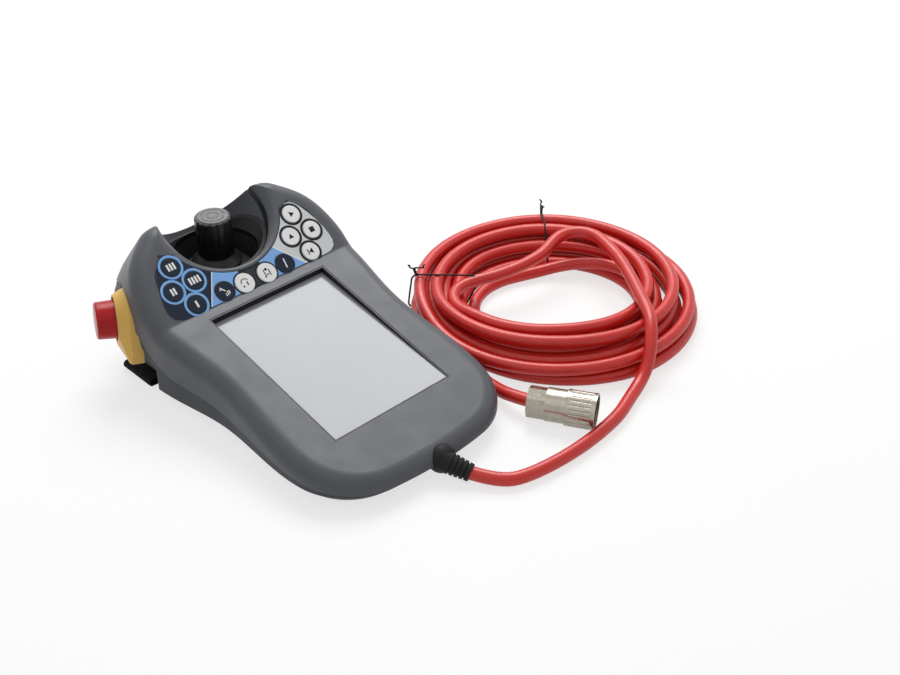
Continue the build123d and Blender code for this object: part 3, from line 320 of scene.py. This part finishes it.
def cable_points():
    """Control points from the strain relief over the coil, round it, and out to the connector."""
    lead = [(9.2, -132, 7), (18, -149, 5), (36, -159, 5), (80, -163.5, 5), (125, -159, 5), (147, -151, 5.2),
            (166, -145, 6.5), (177, -142, 13), (185, -137.5, 24), (194, -130, 31.5), (203, -121, 35.5),
            (213, -107, 35.5), (229, -84, 35.2), (244, -61, 35.2), (253, -42, 35.2), (258, -28, 35.2),
            (260.7, -17.9, 35.2), (258, -7.7, 35.2), (250.6, -0.3, 35), (240.4, 2.4, 34.3),
            (230, 0.6, 33.3), (214, -4, 31.5), (196, -2, 29), (178, 2, 27.5), (164, 8, 26),
            (153, 12.8, 25.3), (143, 14.2, 25), (133.5, 12.2, 24.9), (125.5, 5.5, 24.8),
            (120.8, -5, 24.8)]
    tail = [(95, -44, 5), (90, -58, 5), (87, -78, 6.5), (84, -96, 11.5), (88.5, -112.6, 13)]
    points = [tuple(c * MM for c in p) for p in lead] + coil_points()
    return points + [tuple(c * MM for c in p) for p in tail]


def cable():
    """The whole cable, from strain relief to connector."""
    sheath = surface("cable_sheath_red", (0.58, 0.016, 0.010), 0.36, vary=0.06, patch=60, grain=1800,
                     depth=0.00001, specular=0.55)
    piece = wire("cable", cable_points(), CORD_D / 2, sheath)
    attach(piece, "housing")
    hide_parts("cord_lead", "cord_coil", "cord_tail")
    return piece


def hull(places):
    """Convex outline round flat points, anticlockwise."""
    def bend(a, b, c):
        return (b[0] - a[0]) * (c[1] - a[1]) - (b[1] - a[1]) * (c[0] - a[0])
    outline = []
    for run in (sorted(places), sorted(places, reverse=True)):
        half = []
        for place in run:
            while len(half) > 1 and bend(half[-2], half[-1], place) <= 0:
                half.pop()
            half.append(place)
        outline += half[:-1]
    return outline


def tie_outline(strands):
    """Line of a tie wire drawn tight round strands of the cable, just off the floor."""
    reach = CORD_D / 2 + TIE_WIRE_R
    corners = []
    for radius, z in strands:
        for n in range(TIE_CORNERS):
            a = 2 * pi * n / TIE_CORNERS
            corners.append((radius + reach * cos(a), max(z + reach * sin(a), TIE_WIRE_R + FLOOR_GAP)))
    return hull(corners)


def tie_end(name, side, angle, start, material):
    """One of the two ends of a tie, wound round the other and bent off near its tip."""
    along = Vector((cos(radians(angle)), sin(radians(angle)), 0))
    across = Vector((-along.y, along.x, 0))
    twist = []
    for n in range(TWIST_POINTS):
        turn = side * pi / 2 + n * pi / 2.2
        lean = along * TWIST_LEAN * n * (0.4 if n < TWIST_SPLIT else side * 0.9)
        twist.append(start + lean + across * TWIST_R * cos(turn) + along * TWIST_R * sin(turn)
                     + Vector((0, 0, TWIST_RISE * n)))
    end = wire(name, twist, TIE_END_R, material)
    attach(end, "housing")
    return end


def coil_tie(number, angle, also=()):
    """Thin black wire round the bundle and what else passes, its ends twisted together on top."""
    black = surface(f"tie_black_{number}", (0.012, 0.012, 0.012), 0.5, grain=3000, specular=0.2)
    outline = tie_outline(strands_at(angle) + list(also))
    places = [polar(angle, radius, z) for radius, z in outline]
    loop = wire(f"cable_tie_loop_{number}", places, TIE_WIRE_R, black, closed=True)
    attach(loop, "housing")
    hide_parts(f"cable_tie_{number}")
    knot_r, knot_z = max(outline, key=lambda place: place[1] + 0.3 * place[0])
    start = Vector(polar(angle, knot_r, knot_z - TIE_END_R))
    ends = [tie_end(f"cable_tie_end_{number}_{letter}", side, angle, start, black)
            for letter, side in (("a", 1), ("b", -1))]
    return [loop] + ends


def cords():
    piece = cable()
    ties = coil_tie(1, TIE_ANGLES[0]) + coil_tie(2, TIE_ANGLES[1], [LEAD_AT_TIE])
    length = spline_length(piece)


def spline_length(piece):
    """Length of a cable's own line."""
    line = piece.data.copy()
    line.bevel_depth = 0
    holder = bpy.data.objects.new("cable_line", line)
    mesh = bpy.data.meshes.new_from_object(holder)
    places = [v.co.copy() for v in mesh.vertices]
    bpy.data.objects.remove(holder)
    bpy.data.curves.remove(line)
    bpy.data.meshes.remove(mesh)
    return sum((b - a).length for a, b in zip(places, places[1:]))


# Printing on the key panel
def flat_shape(name, outlines, w, material, body="housing"):
    """Thin printed area on the panel: the first outline with the others as holes."""
    curve = bpy.data.curves.new(name, "CURVE")
    curve.dimensions = "2D"
    curve.fill_mode = "BOTH"
    for outline in outlines:
        spline = curve.splines.new("POLY")
        spline.points.add(len(outline) - 1)
        for point, (u, v) in zip(spline.points, outline):
            point.co = (u * MM, v * MM, 0, 1)
        spline.use_cyclic_u = True
    holder = bpy.data.objects.new(name, curve)
    mesh = bpy.data.meshes.new_from_object(holder)
    bpy.data.objects.remove(holder)
    bpy.data.curves.remove(curve)
    mesh.transform(HEAD @ Matrix.Translation((0, 0, w * MM)))
    mesh.materials.append(material)
    obj = bpy.data.objects.new(name, mesh)
    bpy.context.collection.objects.link(obj)
    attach(obj, body)
    return obj


def circle(u, v, radius, count=40):
    """Outline of a circle on the panel."""
    angles = [2 * pi * n / count for n in range(count)]
    return [(u + radius * cos(a), v + radius * sin(a)) for a in angles]


def panel_side():
    """Right-hand half of the overlay's outline, from the foot to the scoop and round its arc."""
    points = [(0, 11.9), (62, 11.9), (67, 12.6), (71, 15.2), (72.9, 19.6), (72.9, 25), (72.0, 30.5),
              (69.6, 39.5), (67, 46),(63.8, 52.4), (60.6, 57), (57.2, 59.3), (53.8, 59.6),
              (50.4, 58.3), (48.2, 57.3)]
    for n in range(1, SCOOP_POINTS + 1):
        a = radians(SCOOP_SPAN * (1 - n / SCOOP_POINTS))
        points.append((SCOOP_R * sin(a), SCOOP_V - SCOOP_R * cos(a)))
    return points


def clipped(points, a, b):
    """Part of an outline on the left of the line from a to b."""
    def side(p):
        return (b[0] - a[0]) * (p[1] - a[1]) - (b[1] - a[1]) * (p[0] - a[0])
    kept = []
    for n, p in enumerate(points):
        q = points[(n + 1) % len(points)]
        if side(p) >= 0:
            kept.append(p)
        if side(p) * side(q) < 0:
            t = side(p) / (side(p) - side(q))
            kept.append((p[0] + t * (q[0] - p[0]), p[1] + t * (q[1] - p[1])))
    return kept


def strip(points, a, b, width):
    """Part of an outline within half a width of the line from a to b."""
    run = Vector((b[0] - a[0], b[1] - a[1])).normalized() * width / 2
    near = [(p[0] - run.y, p[1] + run.x) for p in (a, b)]
    far = [(p[0] + run.y, p[1] - run.x) for p in (a, b)]
    return clipped(clipped(points, *far), *near[::-1])


def keypad_print():
    """Coloured fields, rings and symbols of the keypad."""
    navy = surface("print_navy", (0.014, 0.021, 0.038), 0.42, grain=3500, specular=0.15)
    blue = surface("print_blue", (0.20, 0.42, 0.78), 0.42, vary=0.05, grain=3500, specular=0.25)
    pale = surface("print_pale_grey", (0.60, 0.62, 0.63), 0.42, vary=0.04, grain=3500)
    black = surface("print_black", (0.012, 0.013, 0.016), 0.42, grain=3500, specular=0.15)
    white = surface("print_white", (0.80, 0.81, 0.80), 0.42, vary=0.04, grain=3500)
    right = panel_side()
    whole = right + [(-u, v) for u, v in right[::-1]]
    w = FILM_TOP + PRINT_LIFT
    split_left = ((-44.2, 8.5), (-28.0, 35.0))
    split_right = ((45.6, 8.5), (23.0, 36.0))
    first = ((-9.9, 8.0), (-9.9, 36.0))
    last = ((6.9, 36.0), (13.4, 8.0))
    side_hole = SIDE_KEY_R + KEY_GAP
    right_holes = [circle(u, v, side_hole) for u, v in SIDE_KEYS]
    left_holes = [circle(-u, v, side_hole) for u, v in SIDE_KEYS]
    middle = clipped(clipped(whole, *split_left[::-1]), *split_right)
    flat_shape("print_field_left", [clipped(whole, *split_left)] + left_holes, w, navy)
    flat_shape("print_field_right", [clipped(whole, *split_right[::-1])] + right_holes, w, pale)
    (far, far_v), (near, near_v) = MIDDLE_KEYS
    hole = MIDDLE_KEY_R + KEY_GAP
    flat_shape("print_field_blue_1", [clipped(middle, *first), circle(-far, far_v, hole)], w, blue)
    flat_shape("print_field_blue_2", [clipped(middle, *last), circle(far, far_v, hole)], w, blue)
    dark = clipped(clipped(middle, *first[::-1]), *last[::-1])
    flat_shape("print_field_dark", [dark, circle(-near, near_v, hole), circle(near, near_v, hole)], w, black)
    ring = w + PRINT_LIFT
    for number, (u, v) in enumerate(SIDE_KEYS, 1):
        on_left = [circle(-u, v, RING_LEFT_R), circle(-u, v, side_hole)]
        on_right = [circle(u, v, RING_RIGHT_R), circle(u, v, side_hole)]
        flat_shape(f"print_ring_left_{number}", on_left, ring, blue)
        flat_shape(f"print_ring_right_{number}", on_right, ring, black)
    for side, u in (("left", -near), ("right", near)):
        outlines = [circle(u, near_v, RING_MIDDLE_R), circle(u, near_v, hole)]
        flat_shape(f"print_ring_middle_{side}", outlines, ring, black)
    flat_shape("print_line_left", [strip(whole, *split_left, 0.7)], ring, white)
    flat_shape("print_line_right", [strip(whole, *split_right, 0.9)], ring, white)
    key_faces(navy, blue, pale, black, white)


def bar(u, v, width, height):
    """Outline of an upright bar."""
    return [(u - width / 2, v - height / 2), (u + width / 2, v - height / 2), (u + width / 2, v + height / 2),
            (u - width / 2, v + height / 2)]


def key_faces(navy, blue, pale, black, white):
    """Faces and symbols of the keys, each riding on its key."""
    face = KEY_TOP + PRINT_LIFT
    mark = face + PRINT_LIFT
    for number, bars in enumerate((3, 4, 2, 1), 1):
        u, v = SIDE_KEYS[number - 1]
        body = f"key_left_{number}_body"
        ground = [circle(-u, v, SIDE_KEY_R - FACE_INSET)]
        flat_shape(f"key_face_left_{number}", ground, face, navy, body)
        for n in range(bars):
            stroke = [bar(-u + (n - (bars - 1) / 2) * BAR_PITCH, v, BAR_WIDTH, BAR_HEIGHT)]
            flat_shape(f"key_mark_left_{number}_{n + 1}", stroke, mark, white, body)
    symbols = {
        1: [[(-1.6, -2.3), (2.4, 0), (-1.6, 2.3)]],
        2: [[(-2.2, -1.7), (2.2, -1.7), (0, 2.1)]],
        3: [bar(0, 0, 4.2, 4.2)],
        4: [[(1.9, -2.3), (1.9, 2.3), (-1.6, 0)], bar(-2.2, 0, 0.9, 4.6)],
    }
    for number, shapes in symbols.items():
        u, v = SIDE_KEYS[number - 1]
        body = f"key_right_{number}_body"
        ground = [circle(u, v, SIDE_KEY_R - FACE_INSET)]
        flat_shape(f"key_face_right_{number}", ground, face, white, body)
        for n, shape in enumerate(shapes, 1):
            moved = [(u + x, v + y) for x, y in shape]
            flat_shape(f"key_mark_right_{number}_{n}", [moved], mark, black, body)
    (far, far_v), (near, near_v) = MIDDLE_KEYS
    middles = [("left_1", -far, far_v, navy, white), ("left_2", -near, near_v, white, black),
               ("right_2", near, near_v, white, black), ("right_1", far, far_v, navy, white)]
    for name, u, v, paint, ink in middles:
        body = f"key_middle_{name}_body"
        ground = [circle(u, v, MIDDLE_KEY_R - FACE_INSET)]
        flat_shape(f"key_face_middle_{name}", ground, face, paint, body)
        for n, shape in enumerate(middle_symbol(name), 1):
            moved = [(u + x, v + y) for x, y in shape]
            flat_shape(f"key_mark_middle_{name}_{n}", [moved], mark, ink, body)


def middle_symbol(name):
    """Plain machine symbols of the four middle keys."""
    if name == "left_1":
        arm = [(-3.2, 3.0), (-2.4, 3.8), (0.4, 0.2), (-0.3, -0.4)]
        return [arm, bar(1.2, -2.2, 0.8, 3.4), bar(2.6, -1.8, 0.8, 2.6), bar(-0.4, -3.0, 0.8, 2.4),
                [(-4.0, 2.0), (-3.4, 2.6), (-2.6, 1.6), (-3.2, 1.2)]]
    if name == "left_2":
        arc = [(3.4 * cos(radians(a)), 3.4 * sin(radians(a))) for a in range(20, 200, 20)]
        back = [(2.7 * cos(radians(a)), 2.7 * sin(radians(a))) for a in range(180, 10, -20)]
        return [arc + back, bar(-2.2, -2.4, 1.3, 1.3), bar(1.6, -1.2, 1.0, 3.0)]
    if name == "right_2":
        return [bar(-2.0, 0.4, 0.8, 5.2), bar(2.0, -0.4, 0.8, 5.2), circle(0, 2.6, 1.1, 16),
                bar(0, -1.4, 2.2, 0.8), [(-3.4, -2.8), (-2.2, -3.4), (-1.6, -2.4), (-2.8, -1.9)]]
    return [[(-0.9, -3.6), (0.1, -3.7), (0.9, 3.6), (-0.1, 3.7)]]


def strap_path():
    """Places round the flat loop, each with its outward direction: across, up, and the two again."""
    end = STRAP_END_X
    mid = STRAP_MID_Z
    layer = STRAP_LAYER
    path = []
    for side in (1, -1):
        for n in range(STRAP_RUN_STEPS + 1):
            x = end - 2 * end * n / STRAP_RUN_STEPS
            path.append((side * x, mid + side * layer, 0, side))
        for n in range(1, STRAP_BEND_STEPS):
            a = side * pi / 2 + pi * n / STRAP_BEND_STEPS
            path.append((-side * end + layer * cos(a), mid + layer * sin(a), cos(a), sin(a)))
    return path


def strap_section():
    """Section of the webbing with softened edges: place along the object and height off its middle."""
    front = STRAP_FRONT
    back = STRAP_BACK
    half = STRAP_HALF
    thin = half * 0.4
    over = [(front, thin), (front + STRAP_EDGE, half), (back - STRAP_EDGE, half), (back, thin)]
    return over + [(y, -off) for y, off in over[::-1]]


def strap():
    """Flat loop of black webbing round the two strap bars."""
    cloth = webbing("strap_webbing_black", (0.009, 0.009, 0.010))
    build = bmesh.new()
    section = strap_section()
    rings = []
    for x, z, nx, nz in strap_path():
        rings.append([build.verts.new((x + nx * off, y, z + nz * off)) for y, off in section])
    for n, ring in enumerate(rings):
        after = rings[(n + 1) % len(rings)]
        for k in range(len(section)):
            j = (k + 1) % len(section)
            build.faces.new((ring[k], ring[j], after[j], after[k]))
    bmesh.ops.recalc_face_normals(build, faces=build.faces)
    piece = link_mesh("hand_strap_webbing", build, cloth)
    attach(piece, "housing")
    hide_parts("hand_strap")


def finishes():
    """Materials of the CAD nodes that are shown as they are."""
    shell = surface("housing_slate", (0.092, 0.097, 0.110), 0.40, vary=0.05, patch=25, grain=2600,
                    depth=0.00004)
    rear = surface("housing_slate_rear", (0.075, 0.079, 0.090), 0.5, vary=0.06, patch=25, grain=2600,
                   depth=0.00004, specular=0.15)
    black = surface("moulded_black", (0.010, 0.010, 0.011), 0.38, grain=2200)
    gloss_black = surface("knob_black", (0.008, 0.008, 0.009), 0.22, grain=1500, coat=0.2, specular=0.4)
    steel = surface("steel", (0.56, 0.56, 0.57), 0.32, metal=1.0, patch=200, grain=5000, depth=0.00001)
    dark_steel = surface("screw_steel_dark", (0.12, 0.12, 0.125), 0.38, metal=1.0, patch=300, grain=4000)
    rubber = surface("rubber_black", (0.014, 0.014, 0.015), 0.55, grain=1600, depth=0.00005, specular=0.15)
    board = surface("board_green", (0.015, 0.09, 0.045), 0.4, patch=400, vary=0.3, grain=1500)
    dress("front_housing", shell)
    dress("rear_housing", rear)
    dress("cable_gland", rubber)
    dress("strain_relief", rubber)
    for node in ("window_bezel", "estop_barrel", "estop_nut", "estop_contact_block", "enable_switch",
                 "joystick_base", "connector_insert"):
        dress(node, black)
    dress("joystick_bowl", surface("bowl_black", (0.009, 0.009, 0.010), 0.45, grain=1800))
    dress("joystick_skirt", surface("skirt_black", (0.010, 0.010, 0.011), 0.33, grain=1800))
    dress("joystick_knob", gloss_black)
    dress("joystick_cap", surface("cap_dark_grey", (0.165, 0.165, 0.17), 0.35, vary=0.2, patch=350,
                                  grain=1500, depth=0.00006))
    # The screen's grey is partly the display's own colour and partly a painted reflection of a white card on
    # the glass.
    dress("touch_panel", surface("screen_grey_painted_reflection", (0.30, 0.31, 0.335), 0.16, vary=0.05, patch=9, grain=300,
                                 depth=0.000001, rough_vary=0.02, coat=0.2))
    dress("lcd_module", surface("display_frame", (0.5, 0.5, 0.5), 0.4, metal=0.8, patch=200))
    dress("board_posts", surface("post_brass", (0.6, 0.42, 0.16), 0.35, metal=1.0, patch=300))
    dress("main_board", board)
    dress("keypad_circuit", board)
    dress("keypad_overlay", surface("overlay_film", (0.02, 0.024, 0.035), 0.36, grain=3500))
    dress("estop_collar", surface("collar_yellow", (0.72, 0.44, 0.11), 0.38, vary=0.06, patch=70, grain=2400))
    dress("estop_button", surface("button_red", (0.42, 0.002, 0.005), 0.28, vary=0.06, patch=80, grain=1800,
                                  specular=0.25))
    dress("enable_lever", rubber)
    for node in ("gimbal_ring", "joystick_shaft", "estop_spindle", "strap_bars", "enable_pin"):
        dress(node, steel)
    dress("housing_screws", dark_steel)
    # Nickel base colour darkened as painted shade: it stands in for the dark surroundings that the connector
    # reflects.
    nickel_painted_dark = surface("connector_nickel", (0.34, 0.315, 0.265), 0.24, metal=1.0, vary=0.12, patch=260,
                     grain=3500, depth=0.00002, rough_vary=0.08)
    for node in ("connector_nut", "connector_body", "connector_ring"):
        dress(node, nickel_painted_dark)
    dress("connector_pins", surface("pins_gold", (0.85, 0.58, 0.22), 0.25, metal=1.0, patch=400))
    key_dark = surface("key_edge_dark", (0.014, 0.016, 0.024), 0.36, grain=3000)
    key_pale = surface("key_edge_pale", (0.55, 0.56, 0.57), 0.36, grain=3000)
    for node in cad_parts:
        if node.startswith("key_"):
            pale = "right_" in node and "middle_right_1" not in node or node == "key_middle_left_2"
            dress(node, key_pale if pale else key_dark)


def studio():
    """Pale floor, soft lights and a white surround."""
    build = bmesh.new()
    bmesh.ops.create_grid(build, x_segments=2, y_segments=2, size=FLOOR_HALF)
    white = surface("floor_white", (0.93, 0.93, 0.93), 0.6, vary=0.005, patch=3, grain=400, depth=0.00001,
                    specular=0.2)
    nodes = white.node_tree.nodes
    links = white.node_tree.links
    glow = nodes.new("ShaderNodeEmission")
    mixed = nodes.new("ShaderNodeMixShader")
    links.new(seen_directly(nodes, links, 0, FLOOR_GLOW), mixed.inputs["Fac"])
    links.new(nodes["Principled BSDF"].outputs["BSDF"], mixed.inputs[1])
    links.new(glow.outputs["Emission"], mixed.inputs[2])
    links.new(mixed.outputs["Shader"], nodes["Material Output"].inputs["Surface"])
    floor = link_mesh("floor", build, white)
    floor.location = (0, 0, -FLOOR_GAP)
    world = bpy.data.worlds.new("studio")
    world.use_nodes = True
    nodes = world.node_tree.nodes
    links = world.node_tree.links
    background = nodes["Background"]
    background.inputs["Color"].default_value = (1, 1, 1, 1)
    links.new(seen_directly(nodes, links, WORLD_LIGHT, WORLD_SEEN), background.inputs["Strength"])
    bpy.context.scene.world = world
    lamp("key_light", (0.7, 0.7, 1.3), 1.0, 23)
    lamp("fill_light", (-0.7, -0.5, 1.4), 1.4, 2)
    bpy.context.scene.view_settings.view_transform = "Standard"


def seen_directly(nodes, links, other, seen):
    """One value for what the camera, a reflection or a glass sees, another for the light on things."""
    path = nodes.new("ShaderNodeLightPath")
    value = path.outputs["Is Camera Ray"]
    for ray in ("Is Glossy Ray", "Is Transmission Ray"):
        either = nodes.new("ShaderNodeMath")
        either.operation = "MAXIMUM"
        links.new(value, either.inputs[0])
        links.new(path.outputs[ray], either.inputs[1])
        value = either.outputs["Value"]
    level = nodes.new("ShaderNodeMapRange")
    level.inputs["To Min"].default_value = other
    level.inputs["To Max"].default_value = seen
    links.new(value, level.inputs["Value"])
    return level.outputs["Result"]


def lamp(name, place, size, power):
    """Square area light that faces the middle of the object."""
    data = bpy.data.lights.new(name, "AREA")
    data.size = size
    data.energy = power
    obj = bpy.data.objects.new(name, data)
    obj.location = place
    aim = Vector(LAMP_AIM) - Vector(place)
    obj.rotation_euler = aim.to_track_quat("-Z", "Y").to_euler()
    bpy.context.collection.objects.link(obj)


cords()
finishes()
keypad_print()
strap()
bpy.context.view_layer.update()
camera()
studio()
